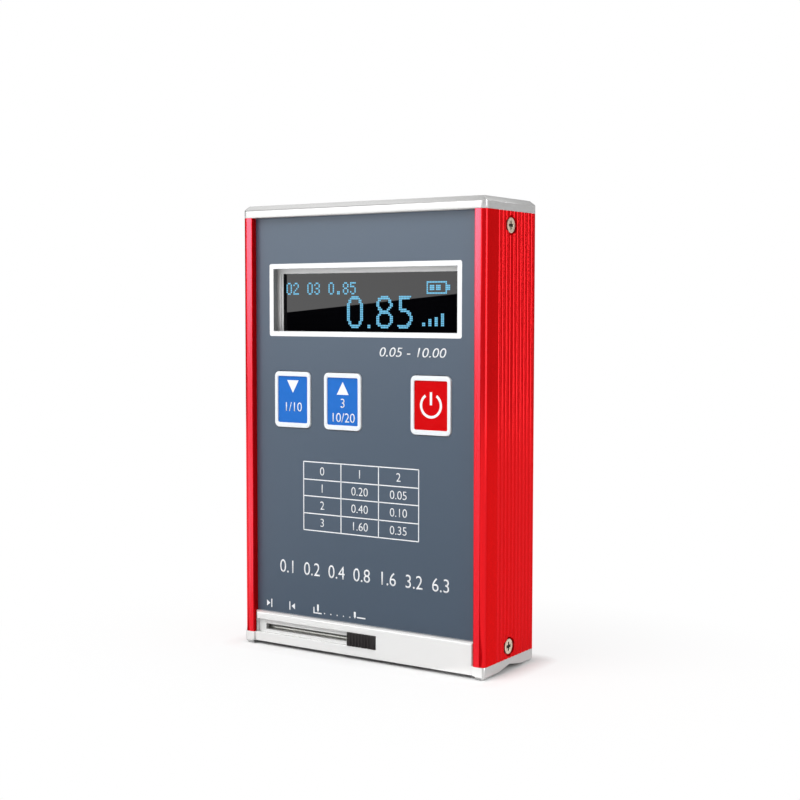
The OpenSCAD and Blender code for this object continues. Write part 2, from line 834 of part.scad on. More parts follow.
module sensor_coil() {
    color("#b5763a") translate([pivot_x + tail_l - coil_d / 2, 0, carriage_z0 - coil_h])
        cylinder(d = coil_d, h = coil_h);
}

module stylus_arm() {
    color("#c6c8ca") difference() {
        union() {
            bar_y(hub_d, pivot_x, [-hub_t / 2, hub_t / 2], pivot_z);
            bar_x(arm_d, [stylus_x, pivot_x], 0, pivot_z);
            translate([stylus_x, 0, pivot_z - holder_h / 2]) cylinder(d = holder_d, h = holder_h);
            span([pivot_x, pivot_x + tail_l], [-hub_t / 2, hub_t / 2],
                [pivot_z - arm_d / 2, pivot_z + arm_d / 2]);
        }
        bar_y(pivot_d + 2 * fit, pivot_x, [-over - hub_t / 2, over + hub_t / 2], pivot_z);
    }
}

module stylus_tip() {
    top = pivot_z - holder_h / 2;
    cone_h = stylus_d;
    color("#d8dadc") translate([stylus_x, 0, stylus_rest]) {
        cylinder(d1 = stylus_d * 0.1, d2 = stylus_d, h = cone_h);
        translate([0, 0, cone_h]) cylinder(d = stylus_d, h = top - cone_h - stylus_rest);
    }
}

body_shell();
top_cap();
bottom_cap();
front_panel();
side_screws();
display_frame();
display_glass();
display_board();
display_spacers();
display_header();
main_board();
processor_chip();
amplifier_chip();
charge_socket();
battery_pad();
battery_cell();
battery_plug();
battery_leads();
key_switch_left();
key_switch_middle();
key_switch_power();
key_cap_left();
key_cap_middle();
key_cap_power();
key_label_left();
key_label_middle();
key_label_power();
key_plunger_left();
key_plunger_middle();
key_plunger_power();
shutter_rod();
shutter_knob();
shutter_runner();
shutter_plate();
drive_frame();
drive_screws();
guide_rods();
screw_bush();
drive_gearbox();
drive_motor();
lead_screw();
lead_nut();
carriage();
pickup_body();
pivot_pin();
sensor_coil();
stylus_arm();
stylus_tip();
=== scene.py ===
import math
import bpy
from mathutils import Matrix, Vector
from mathutils.bvhtree import BVHTree


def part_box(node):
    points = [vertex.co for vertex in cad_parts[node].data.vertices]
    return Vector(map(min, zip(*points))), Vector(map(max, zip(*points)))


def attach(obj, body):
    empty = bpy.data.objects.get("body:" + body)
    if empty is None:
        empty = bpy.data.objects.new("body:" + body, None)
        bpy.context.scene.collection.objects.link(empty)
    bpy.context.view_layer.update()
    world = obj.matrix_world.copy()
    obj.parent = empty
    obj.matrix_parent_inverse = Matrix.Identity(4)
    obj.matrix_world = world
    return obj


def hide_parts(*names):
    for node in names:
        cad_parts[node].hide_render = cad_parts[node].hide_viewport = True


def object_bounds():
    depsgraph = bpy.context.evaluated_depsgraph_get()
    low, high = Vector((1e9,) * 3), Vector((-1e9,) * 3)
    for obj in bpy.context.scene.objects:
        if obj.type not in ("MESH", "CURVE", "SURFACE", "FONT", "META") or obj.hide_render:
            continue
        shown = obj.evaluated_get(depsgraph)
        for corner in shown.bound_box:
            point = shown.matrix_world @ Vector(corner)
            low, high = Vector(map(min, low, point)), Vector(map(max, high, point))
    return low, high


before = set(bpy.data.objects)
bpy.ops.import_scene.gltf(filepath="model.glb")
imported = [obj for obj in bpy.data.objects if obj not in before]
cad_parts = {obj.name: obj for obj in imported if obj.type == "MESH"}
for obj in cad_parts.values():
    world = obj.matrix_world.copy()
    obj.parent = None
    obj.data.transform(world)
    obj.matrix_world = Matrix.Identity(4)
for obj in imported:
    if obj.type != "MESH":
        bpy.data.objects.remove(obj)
cad_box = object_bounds()

# The studio: a pale table that runs out into a white room, and a camera to the right of the front.
# The lens is at the height of the display and looks a little down, so the top of the instrument is not seen.
MM = 0.001
image_px = 800
sensor_mm = 36.0
yaw = math.radians(33.285)
pitch = math.radians(-3.672)
roll = math.radians(0.064)
eye = Vector((191.95, -285.94, 84.36)) * MM
focal_px = 1407.33
nearest = 10 * MM

ahead = Vector((-math.sin(yaw) * math.cos(pitch), math.cos(yaw) * math.cos(pitch), math.sin(pitch)))
level = Vector((math.cos(yaw), math.sin(yaw), 0))
lens_up = level.cross(ahead)
across = level * math.cos(roll) + lens_up * math.sin(roll)
above = lens_up * math.cos(roll) - level * math.sin(roll)
bpy.ops.object.camera_add()
camera = bpy.context.object
camera.name = "studio_camera"
camera.matrix_world = Matrix.Translation(eye) @ Matrix((across, above, -ahead)).transposed().to_4x4()
camera.data.sensor_width = sensor_mm
camera.data.lens = focal_px / image_px * sensor_mm
camera.data.clip_start = nearest
bpy.context.scene.camera = camera
bpy.context.scene.view_settings.view_transform = "Standard"


def seen_ray(tree):
    """The rays that show the room itself: straight to the lens, mirrored, or through glass."""
    path = tree.nodes.new("ShaderNodeLightPath")
    seen = path.outputs["Is Camera Ray"]
    for kind in ("Is Glossy Ray", "Is Transmission Ray"):
        either = tree.nodes.new("ShaderNodeMath")
        either.operation = "MAXIMUM"
        tree.links.new(seen, either.inputs[0])
        tree.links.new(path.outputs[kind], either.inputs[1])
        seen = either.outputs[0]
    return seen


room_light = 0.62
plain_white = (1, 1, 1, 1)
room = bpy.data.worlds.new("white_room")
room.use_nodes = True
bpy.context.scene.world = room
walls = room.node_tree
walls.nodes.clear()
fill = walls.nodes.new("ShaderNodeBackground")
fill.inputs["Color"].default_value = plain_white
fill.inputs["Strength"].default_value = room_light
white = walls.nodes.new("ShaderNodeBackground")
white.inputs["Color"].default_value = plain_white
shown = walls.nodes.new("ShaderNodeMixShader")
world_out = walls.nodes.new("ShaderNodeOutputWorld")
walls.links.new(seen_ray(walls), shown.inputs[0])
walls.links.new(fill.outputs[0], shown.inputs[1])
walls.links.new(white.outputs[0], shown.inputs[2])
walls.links.new(shown.outputs[0], world_out.inputs[0])

table_size = 6.0
table_drop = 0.05 * MM
paper_white = (0.86, 0.86, 0.86, 1)
foot_print = ((cad_box[1][0] - cad_box[0][0]) / 2, (cad_box[1][1] - cad_box[0][1]) / 2, 0)
# Each shadow: where it starts and ends, in metres from the instrument, and how much of it shows there.
close_shadow = (0.0, 0.006, 1.0, 0.2)
wide_shadow = (0.006, 0.07, 1.0, 0.0)
bpy.ops.mesh.primitive_plane_add(size=table_size, location=(0, 0, -table_drop))
table = bpy.context.object
table.name = "table_top"
pale = bpy.data.materials.new("pale_table")
pale.use_nodes = True
table_tree = pale.node_tree
table_tree.nodes.clear()
paper = table_tree.nodes.new("ShaderNodeBsdfDiffuse")
paper.inputs["Color"].default_value = paper_white
glow = table_tree.nodes.new("ShaderNodeEmission")
glow.inputs["Strength"].default_value = 1.0
outward = table_tree.nodes.new("ShaderNodeTexCoord").outputs["Object"]
for step, amount in (("ABSOLUTE", (0, 0, 0)), ("SUBTRACT", foot_print), ("MAXIMUM", (0, 0, 0))):
    measured = table_tree.nodes.new("ShaderNodeVectorMath")
    measured.operation = step
    measured.inputs[1].default_value = amount
    table_tree.links.new(outward, measured.inputs[0])
    outward = measured.outputs[0]
far = table_tree.nodes.new("ShaderNodeVectorMath")
far.operation = "LENGTH"
table_tree.links.new(outward, far.inputs[0])
shadow_share = table_tree.nodes.new("ShaderNodeMath")
shadow_share.operation = "MULTIPLY"
for i, reach in enumerate((close_shadow, wide_shadow)):
    fade = table_tree.nodes.new("ShaderNodeMapRange")
    for socket, value in zip(("From Min", "From Max", "To Min", "To Max"), reach):
        fade.inputs[socket].default_value = value
    table_tree.links.new(far.outputs["Value"], fade.inputs["Value"])
    table_tree.links.new(fade.outputs[0], shadow_share.inputs[i])
part_glow = table_tree.nodes.new("ShaderNodeMixShader")
table_tree.links.new(shadow_share.outputs[0], part_glow.inputs[0])
table_tree.links.new(glow.outputs[0], part_glow.inputs[1])
table_tree.links.new(paper.outputs[0], part_glow.inputs[2])
top_mix = table_tree.nodes.new("ShaderNodeMixShader")
top_out = table_tree.nodes.new("ShaderNodeOutputMaterial")
table_tree.links.new(seen_ray(table_tree), top_mix.inputs[0])
table_tree.links.new(paper.outputs[0], top_mix.inputs[1])
table_tree.links.new(part_glow.outputs[0], top_mix.inputs[2])
table_tree.links.new(top_mix.outputs[0], top_out.inputs[0])
table.data.materials.append(pale)


# The studio's lights: a tall soft board at the front left, mirrored in the display and the rails, and a
# narrow strong one at the right, which draws the ribs and the round corner. Black and grey boards stand round
# the rest, hang above and lie on the table, so that the dyed metal keeps its depth. Two lamps light it all.
def studio_card(name, middle, facing, wide, high, strength, tilt=0.0):
    """A flat board that glows, or that is black at strength 0. It only shows in reflections."""
    bpy.ops.mesh.primitive_plane_add(size=1)
    board = bpy.context.object
    board.name = name
    front = Vector(facing).normalized()
    side = Vector((0, 0, 1)).cross(front).normalized()
    rise = front.cross(side)
    turn = Matrix((side, rise, front)).transposed().to_4x4()
    size = Matrix.Diagonal((wide, high, 1, 1))
    board.matrix_world = Matrix.Translation(middle) @ turn @ Matrix.Rotation(tilt, 4, "Z") @ size
    light = bpy.data.materials.new(name)
    light.use_nodes = True
    light.node_tree.nodes.clear()
    shine = light.node_tree.nodes.new("ShaderNodeEmission")
    shine.inputs["Strength"].default_value = strength
    out = light.node_tree.nodes.new("ShaderNodeOutputMaterial")
    light.node_tree.links.new(shine.outputs[0], out.inputs[0])
    board.data.materials.append(light)
    board.visible_camera = False
    board.visible_shadow = False
    board.visible_diffuse = False


def bearing(degrees, distance, height):
    """A place in the room: so many degrees to the right of straight in front, at a distance and a height."""
    turn = math.radians(degrees)
    return Vector((distance * math.sin(turn), -distance * math.cos(turn), height))


black = 0.0
soft_foot = bearing(-33.8, 0.456, 0.088)
soft_left, soft_right = 0.22, 0.11
soft_wide = soft_left + soft_right
soft_high = 0.7
soft_strength = 3.8
soft_tilt = math.radians(-6.3)
shade_high = 0.12
display_middle = Vector((0, -0.0076, 0.088))
toward = display_middle - soft_foot
overhead = Vector((0, 0, 1))
soft_side = overhead.cross(toward.normalized())
soft_across = soft_side * math.cos(soft_tilt) + overhead * math.sin(soft_tilt)
soft_up = overhead * math.cos(soft_tilt) - soft_side * math.sin(soft_tilt)
soft_edge = soft_foot + soft_across * (soft_right - soft_left) / 2
soft_middle = soft_edge + soft_up * (soft_high / 2)
shade_middle = soft_edge - soft_up * (shade_high / 2)
studio_card("soft_light", soft_middle, toward, soft_wide, soft_high, soft_strength, soft_tilt)
studio_card("low_shade", shade_middle, toward, soft_wide, shade_high, black, soft_tilt)

wall_middle = 0.3
wall_high = 0.9
wall_far, rib_far = 0.75, 0.7
for name, degrees, distance, wide, strength in (("lens_shade", 27, wall_far, 1.6, 0.28),
                                                ("left_shade", -98, wall_far, 0.94, black),
                                                ("rib_light", 85, rib_far, 0.2, 7.0),
                                                ("side_shade", 139, wall_far, 1.4, 0.38),
                                                ("back_shade", 215, wall_far, 0.97, black)):
    place = bearing(degrees, distance, wall_middle)
    studio_card(name, place, -bearing(degrees, distance, 0), wide, wall_high, strength)

# A level board leans by a hair, so that the way its long side runs is settled.
hair = 1 * MM
table_clear = 0.5 * MM
table_grey = 0.68
front_degrees = -30
side_table = Vector((0.286, 0.389, table_clear))
front_table = bearing(front_degrees, 0.22, table_clear) + bearing(front_degrees + 90, 0.0105, 0)
studio_card("high_shade", (0, -0.1, 0.9), (hair, 0, -0.9), wide=0.9, high=0.9, strength=black)
studio_card("side_table_shade", side_table, (hair, 0, 1), wide=0.8, high=0.5, strength=table_grey)
studio_card("front_table_shade", front_table, bearing(front_degrees, hair, 1), wide=0.095, high=0.44,
            strength=black)

lamp_aim = Vector((0, 0, 0.05))
lamp_size = 0.6
for name, place, watts in (("key_lamp", (-0.25, -0.55, 0.75), 6.0), ("side_lamp", (0.75, 0.15, 0.35), 1.6)):
    bpy.ops.object.light_add(type="AREA", location=place)
    lamp = bpy.context.object
    lamp.name = name
    lamp.data.size = lamp_size
    lamp.data.energy = watts
    lamp.rotation_euler = (lamp_aim - lamp.location).to_track_quat("-Z", "Y").to_euler()
    lamp.visible_glossy = False


# The case: one aluminium extrusion, dyed bright red, ribbed on its sides for grip and open at both ends.
# Two rails stand proud of the front to hold the panel. The rails' faces are satin, and the round corners and
# the sides of the grooves glossier than the walls. The front corners are drawn rounder than the solid's.
weld = 1e-6
sharp = math.radians(38)
same_plane = math.radians(1)
nearly_all = 0.99
edge_steps = 2


def softened(node, name, broken_edge, body, upright=None):
    """A copy of a CAD node that stands for it, with its sharp edges broken.

    upright, where given, is the share of the break that an upright edge at a depth gets.
    No other edge is broken then.
    """
    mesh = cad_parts[node].data.copy()
    mesh.materials.clear()
    piece = bpy.data.objects.new(name, mesh)
    bpy.context.scene.collection.objects.link(piece)
    bpy.ops.object.select_all(action="DESELECT")
    piece.select_set(True)
    bpy.context.view_layer.objects.active = piece
    bpy.ops.mesh.customdata_custom_splitnormals_clear()
    bpy.ops.object.mode_set(mode="EDIT")
    bpy.ops.mesh.select_all(action="SELECT")
    bpy.ops.mesh.remove_doubles(threshold=weld)
    bpy.ops.mesh.tris_convert_to_quads(face_threshold=same_plane, shape_threshold=math.pi)
    bpy.ops.mesh.select_mode(type="EDGE")
    bpy.ops.mesh.select_all(action="DESELECT")
    bpy.ops.mesh.edges_select_sharp(sharpness=sharp)
    bpy.ops.object.mode_set(mode="OBJECT")
    weights = mesh.attributes.new("bevel_weight_edge", "FLOAT", "EDGE")
    for edge, weight in zip(mesh.edges, weights.data):
        start = mesh.vertices[edge.vertices[0]].co
        run = mesh.vertices[edge.vertices[1]].co - start
        share = 1.0
        if upright:
            share = upright(start.y) if abs(run.z) > nearly_all * run.length else 0.0
        weight.value = share if edge.select else 0.0
    bevel = piece.modifiers.new("broken_edge", "BEVEL")
    bevel.width = broken_edge
    bevel.segments = edge_steps
    bevel.limit_method = "WEIGHT"
    bevel.use_clamp_overlap = False
    bpy.ops.object.modifier_apply(modifier=bevel.name)
    bpy.ops.object.shade_smooth_by_angle(angle=sharp)
    flat = piece.modifiers.new("flat_faces", "WEIGHTED_NORMAL")
    flat.keep_sharp = True
    bpy.ops.object.modifier_apply(modifier=flat.name)
    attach(piece, body)
    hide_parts(node)
    return piece


def make_fine_grain():
    """Uneven colour, gloss and height from one noise, stretched along the way the metal was worked."""
    noise_detail = 5.0
    noise_low, noise_middle, noise_high = 0.3, 0.5, 0.7
    group = bpy.data.node_groups.new("fine_grain", "ShaderNodeTree")
    for socket, kind in (("Colour", "Color"), ("Stretch", "Vector"), ("Tint", "Float"),
                         ("Rough Low", "Float"), ("Rough High", "Float")):
        group.interface.new_socket(socket, in_out="INPUT", socket_type="NodeSocket" + kind)
    for socket, kind in (("Colour", "Color"), ("Roughness", "Float"), ("Height", "Float")):
        group.interface.new_socket(socket, in_out="OUTPUT", socket_type="NodeSocket" + kind)
    given = group.nodes.new("NodeGroupInput")
    result = group.nodes.new("NodeGroupOutput")
    place = group.nodes.new("ShaderNodeTexCoord")
    stretch = group.nodes.new("ShaderNodeVectorMath")
    stretch.operation = "MULTIPLY"
    group.links.new(place.outputs["Object"], stretch.inputs[0])
    group.links.new(given.outputs["Stretch"], stretch.inputs[1])
    noise = group.nodes.new("ShaderNodeTexNoise")
    noise.inputs["Scale"].default_value = 1.0
    noise.inputs["Detail"].default_value = noise_detail
    group.links.new(stretch.outputs[0], noise.inputs["Vector"])
    even = group.nodes.new("ShaderNodeMath")
    even.operation = "SUBTRACT"
    even.inputs[1].default_value = noise_middle
    group.links.new(noise.outputs["Fac"], even.inputs[0])
    shade = group.nodes.new("ShaderNodeMath")
    shade.operation = "MULTIPLY_ADD"
    shade.inputs[2].default_value = 1.0
    group.links.new(even.outputs[0], shade.inputs[0])
    group.links.new(given.outputs["Tint"], shade.inputs[1])
    colour = group.nodes.new("ShaderNodeVectorMath")
    colour.operation = "SCALE"
    group.links.new(given.outputs["Colour"], colour.inputs[0])
    group.links.new(shade.outputs[0], colour.inputs["Scale"])
    gloss = group.nodes.new("ShaderNodeMapRange")
    gloss.inputs["From Min"].default_value = noise_low
    gloss.inputs["From Max"].default_value = noise_high
    group.links.new(noise.outputs["Fac"], gloss.inputs["Value"])
    group.links.new(given.outputs["Rough Low"], gloss.inputs["To Min"])
    group.links.new(given.outputs["Rough High"], gloss.inputs["To Max"])
    group.links.new(colour.outputs[0], result.inputs["Colour"])
    group.links.new(gloss.outputs[0], result.inputs["Roughness"])
    group.links.new(noise.outputs["Fac"], result.inputs["Height"])
    return group


fine_grain = make_fine_grain()
relief_depth = 0.02 * MM


def grained(name, colour, stretch, tint, rough, relief, metal=0.0, ior=1.5, mirror=(1, 1, 1)):
    """A finish with fine grain. stretch is how often the grain changes in a metre, along X, Y and Z.

    tint is how far the colour varies, rough the least and the most roughness, and relief the strength of
    the bump. ior says how strongly the surface mirrors, and mirror is the colour that its mirroring takes.
    """
    finish = bpy.data.materials.new(name)
    finish.use_nodes = True
    tree = finish.node_tree
    shader = tree.nodes["Principled BSDF"]
    grain = tree.nodes.new("ShaderNodeGroup")
    grain.node_tree = fine_grain
    grain.inputs["Colour"].default_value = (*colour, 1)
    grain.inputs["Stretch"].default_value = stretch
    grain.inputs["Tint"].default_value = tint
    grain.inputs["Rough Low"].default_value = rough[0]
    grain.inputs["Rough High"].default_value = rough[1]
    tree.links.new(grain.outputs["Colour"], shader.inputs["Base Color"])
    tree.links.new(grain.outputs["Roughness"], shader.inputs["Roughness"])
    bump = tree.nodes.new("ShaderNodeBump")
    bump.inputs["Strength"].default_value = relief
    bump.inputs["Distance"].default_value = relief_depth
    tree.links.new(grain.outputs["Height"], bump.inputs["Height"])
    tree.links.new(bump.outputs["Normal"], shader.inputs["Normal"])
    shader.inputs["Metallic"].default_value = metal
    shader.inputs["IOR"].default_value = ior
    shader.inputs["Specular Tint"].default_value = (*mirror, 1)
    return finish


drawn = (900, 900, 14)
red_dyed = grained("red_dyed_metal", (0.88, 0.005, 0.008), drawn,
                   tint=0.12, rough=(0.15, 0.2), relief=0.03, metal=0.7, ior=1.2, mirror=(1.0, 0.1, 0.1))
red_satin = grained("red_rail_satin", (0.95, 0.003, 0.007), drawn,
                    tint=0.12, rough=(0.25, 0.3), relief=0.12, metal=0.06, ior=2.1, mirror=(1.0, 0.68, 1.0))
red_corner = grained("red_corner_gloss", (0.8, 0.003, 0.006), drawn,
                     tint=0.1, rough=(0.12, 0.16), relief=0.0, metal=0.52, ior=1.5, mirror=(1.0, 0.55, 0.65))
rail_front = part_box("body_shell")[0][1]
half_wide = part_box("body_shell")[1][0]
corner_round = 1.0 * MM
corner_grow = 1.35
corner_reach = corner_round * corner_grow


def rounder(piece):
    """Grows the round of the two upright front corners, about the sharp corner that each one stands for."""
    for point in piece.data.vertices:
        inward = half_wide - abs(point.co.x)
        back = point.co.y - rail_front
        if inward < corner_round + weld and back < corner_round + weld:
            point.co.x = math.copysign(half_wide - inward * corner_grow, point.co.x)
            point.co.y = rail_front + back * corner_grow


rail_break = 0.2 * MM
rib_share = 0.35
rail_zone = 0.2 * MM
rail_skin = 0.1 * MM
straight_ahead = -0.999
sideways = 0.95
case = softened("body_shell", "case_extrusion", rail_break, "housing",
                upright=lambda depth: 1.0 if depth < rail_front + rail_zone else rib_share)
rounder(case)
for finish in (red_dyed, red_satin, red_corner):
    case.data.materials.append(finish)
for facet in case.data.polygons:
    if facet.normal.y < straight_ahead and facet.center.y < rail_front + rail_skin:
        facet.material_index = 1
    elif abs(facet.normal.x) < sideways and abs(facet.center.x) > half_wide - corner_reach:
        facet.material_index = 2


# The main board and what is soldered to it: glass fibre with a green mask, moulded chips and key switches,
# a pressed steel charging socket, and the battery's plug with its two short leads.
def tone(red, green, blue):
    """A colour as a printer names it, 0 to 255, in the shader's own scale, by the usual display curve."""
    parts = [part / 255 for part in (red, green, blue)]
    return tuple(part / 12.92 if part < 0.04045 else ((part + 0.055) / 1.055) ** 2.4 for part in parts)


def dress(node, finish):
    """Gives a CAD node its finish."""
    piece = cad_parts[node]
    piece.data.materials.clear()
    piece.data.materials.append(finish)
    return piece


board_green = grained("board_green", tone(22, 92, 58), (700, 700, 700),
                      tint=0.3, rough=(0.35, 0.5), relief=0.2)
chip_black = grained("moulded_black", tone(30, 30, 32), (2500, 2500, 2500),
                     tint=0.3, rough=(0.45, 0.6), relief=0.25)
steel = grained("bright_steel", (0.6, 0.6, 0.59), (300, 300, 300),
                tint=0.12, rough=(0.22, 0.34), relief=0.08, metal=1.0)
plug_white = grained("plug_white", tone(226, 222, 208), (1500, 1500, 1500),
                     tint=0.08, rough=(0.4, 0.5), relief=0.1)
wire_red = grained("wire_red", tone(170, 20, 22), (1200, 1200, 1200),
                   tint=0.15, rough=(0.35, 0.5), relief=0.1)
dress("main_board", board_green)
for chip in ("processor_chip", "amplifier_chip", "key_switch_left", "key_switch_middle", "key_switch_power"):
    dress(chip, chip_black)
dress("charge_socket", steel)
dress("battery_plug", plug_white)
dress("battery_leads", wire_red)


# The battery: a flat pouch of grey metal foil, closed in behind the main board.
# A pad of dark foam tape holds it to the back wall of the case.
foil = grained("pouch_foil", tone(158, 166, 176), (500, 500, 500),
               tint=0.2, rough=(0.28, 0.45), relief=0.5, metal=0.7)
foam = grained("foam_tape", tone(52, 52, 54), (4000, 4000, 4000),
               tint=0.5, rough=(0.8, 0.95), relief=0.8)
dress("battery_cell", foil)
dress("battery_pad", foam)


# The display: a black glass module in a light grey moulded frame, on its own board and brass spacers.
# Lit blue dots lie in rows on the front of the glass, and a light strip stands at each end of the view.
frame_grey = grained("frame_grey", tone(226, 226, 226), (900, 900, 900),
                     tint=0.06, rough=(0.35, 0.45), relief=0.1)
glass_black = grained("display_glass_black", (0.0012, 0.0012, 0.0018), (60, 60, 60),
                      tint=0.3, rough=(0.0, 0.012), relief=0.0, ior=1.36)
brass = grained("turned_brass", (0.62, 0.43, 0.16), (200, 900, 900),
                tint=0.15, rough=(0.25, 0.38), relief=0.1, metal=1.0)
dress("display_board", board_green)
dress("display_spacers", brass)
dress("display_header", chip_black)
dress("display_glass", glass_black)
bezel_break = 0.08 * MM
bezel = softened("display_frame", "display_bezel", bezel_break, "housing")
bezel.data.materials.append(frame_grey)

dot_pitch = 0.43 * MM
dot_size = 0.35 * MM
dot_height = 0.02 * MM
glass_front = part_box("display_glass")[0][1]
small_glyphs = {
    "0": (" ## ", "#  #", "#  #", "#  #", "#  #", "#  #", " ## "),
    "2": (" ## ", "#  #", "   #", "  # ", " #  ", "#   ", "####"),
    "3": (" ## ", "#  #", "   #", " ## ", "   #", "#  #", " ## "),
    "5": ("####", "#   ", "### ", "   #", "   #", "#  #", " ## "),
    "8": (" ## ", "#  #", "#  #", " ## ", "#  #", "#  #", " ## "),
    ".": ("    ", "    ", "    ", "    ", "    ", " ## ", " ## "),
    " ": ("    ", "    ", "    ", "    ", "    ", "    ", "    "),
}
glyph_step = 5 * dot_pitch
battery_mark = (
    "#############  ",
    "#           #  ",
    "# ### ###   ###",
    "# ### ###   ###",
    "# ### ###   ###",
    "#           #  ",
    "#############  ",
)
level_mark = (
    "            ##",
    "            ##",
    "        ##  ##",
    "    ##  ##  ##",
    "    ##  ##  ##",
    "##  ##  ##  ##",
    "##  ##  ##  ##",
)


def lit_rows(rows, left, top):
    """Where the dots of a pattern lie, its upper left dot being at left, top."""
    return [(left + i * dot_pitch, top - j * dot_pitch)
            for j, row in enumerate(rows) for i, mark in enumerate(row) if mark == "#"]


def lit_line(words, left, top):
    """Where the dots of a line of small figures lie."""
    return [dot for i, sign in enumerate(words)
            for dot in lit_rows(small_glyphs[sign], left + i * glyph_step, top)]


ink_thick = 0.03 * MM
text_weld = 0.0001


def thickened(thick):
    """Gives the flat sheet that is in edit mode its thickness, and turns its faces outwards."""
    bpy.ops.mesh.select_all(action="SELECT")
    bpy.ops.mesh.extrude_region_move(TRANSFORM_OT_translate={"value": (0, 0, thick)})
    bpy.ops.mesh.select_all(action="SELECT")
    bpy.ops.mesh.normals_make_consistent(inside=False)
    bpy.ops.object.mode_set(mode="OBJECT")


def stood_up(sheet, x, z, face):
    """Stands a sheet that lies flat up against an upright face, with its place in its mesh."""
    sheet.rotation_euler = (math.pi / 2, 0, 0)
    sheet.location = (x, face, z)
    bpy.ops.object.transform_apply(location=True, rotation=True, scale=True)
    return sheet


def lettering(words, middle, foot, height, face, thin, spread=1.0, slant=0.0):
    """A line of figures laid on an upright face, as a mesh. thin is taken off the width of each stroke."""
    bpy.ops.object.select_all(action="DESELECT")
    bpy.ops.object.text_add()
    line = bpy.context.object
    line.data.body = words
    line.data.align_x = "CENTER"
    line.data.shear = slant
    line.data.offset = -thin
    bpy.ops.object.convert(target="MESH")
    low = min(corner.co.y for corner in line.data.vertices)
    high = max(corner.co.y for corner in line.data.vertices)
    size = height / (high - low)
    bpy.ops.object.mode_set(mode="EDIT")
    bpy.ops.mesh.select_all(action="SELECT")
    bpy.ops.mesh.remove_doubles(threshold=text_weld)
    thickened(ink_thick / size)
    line.scale = (size * spread, size, size)
    return stood_up(line, middle, foot - low * size, face)


def lit_figures(words, middle, foot, height):
    """Where the dots of large figures lie: on the display's grid, wherever a figure covers a dot."""
    line = lettering(words, middle, foot, height, 0.0, thin=0.02)
    ink = BVHTree.FromObject(line, bpy.context.evaluated_depsgraph_get())
    left = min(corner.co.x for corner in line.data.vertices)
    right = max(corner.co.x for corner in line.data.vertices)
    in_front, inwards = -1, Vector((0, 1, 0))
    quarters = (-0.25, 0.25)
    places = []
    for i in range(int((right - left) / dot_pitch) + 2):
        for j in range(int(height / dot_pitch) + 2):
            spot = Vector((left + (i + 0.5) * dot_pitch, in_front, foot + (j + 0.5) * dot_pitch))
            hits = [ink.ray_cast(spot + Vector((aside, 0, up)) * dot_pitch, inwards)[0]
                    for aside in quarters for up in quarters]
            if sum(1 for hit in hits if hit) > 1:
                places.append((spot.x, spot.z))
    bpy.data.objects.remove(line)
    return places


upper_row = 90.8 * MM
lit_dots = lit_line("02 03 0.85", left=-24.4 * MM, top=upper_row)
lit_dots += lit_rows(battery_mark, left=16.8 * MM, top=upper_row)
lit_dots += lit_figures("0.85", middle=3.4 * MM, foot=79.9 * MM, height=7.8 * MM)
lit_dots += lit_rows(level_mark, left=15.6 * MM, top=83.3 * MM)

bpy.ops.object.select_all(action="DESELECT")
bpy.ops.mesh.primitive_cube_add(size=1)
one_dot = bpy.context.object
one_dot.scale = (dot_size, dot_height, dot_size)
bpy.ops.object.transform_apply(scale=True)
dots = []
for x, z in lit_dots:
    dot = bpy.data.objects.new("dot", one_dot.data.copy())
    dot.location = (x, glass_front - dot_height / 2, z)
    bpy.context.scene.collection.objects.link(dot)
    dots.append(dot)
bpy.data.objects.remove(one_dot)


def joined(parts, name):
    """Several finished meshes as one object, with its place in its mesh."""
    bpy.ops.object.select_all(action="DESELECT")
    for part in parts:
        part.select_set(True)
    bpy.context.view_layer.objects.active = parts[0]
    bpy.ops.object.join()
    whole = bpy.context.object
    whole.name = name
    bpy.ops.object.transform_apply(location=True, rotation=True, scale=True)
    return whole


rim_wide = 0.5 * MM
rim_thick = 0.1 * MM
view_half = min(abs(corner.co.x) for corner in bezel.data.vertices)
view_edge = [corner.co.z for corner in bezel.data.vertices if abs(corner.co.x) < view_half + weld]
view_low, view_high = min(view_edge), max(view_edge)
rims = []
for end in (-1, 1):
    bpy.ops.object.select_all(action="DESELECT")
    bpy.ops.mesh.primitive_cube_add(size=1)
    rim = bpy.context.object
    rim.scale = (rim_wide, rim_thick, view_high - view_low)
    rim.location = (end * (view_half - rim_wide / 2), glass_front - rim_thick / 2, (view_high + view_low) / 2)
    rims.append(rim)
view_rim = joined(rims, "display_rim")
view_rim.data.materials.append(frame_grey)
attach(view_rim, "housing")

lit = joined(dots, "display_dots")
dot_blue = grained("lit_dot_blue", (0.01, 0.03, 0.05), (200, 200, 200),
                   tint=0.3, rough=(0.3, 0.4), relief=0.0)
dot_shader = dot_blue.node_tree.nodes["Principled BSDF"]
dot_glow = dot_blue.node_tree.nodes.new("ShaderNodeGroup")
dot_glow.node_tree = fine_grain
dot_glow.inputs["Colour"].default_value = (*tone(104, 196, 236), 1)
dot_glow.inputs["Stretch"].default_value = (400, 400, 400)
dot_glow.inputs["Tint"].default_value = 0.35
dot_blue.node_tree.links.new(dot_glow.outputs["Colour"], dot_shader.inputs["Emission Color"])
dot_shader.inputs["Emission Strength"].default_value = 0.95
lit.data.materials.append(dot_blue)
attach(lit, "housing")


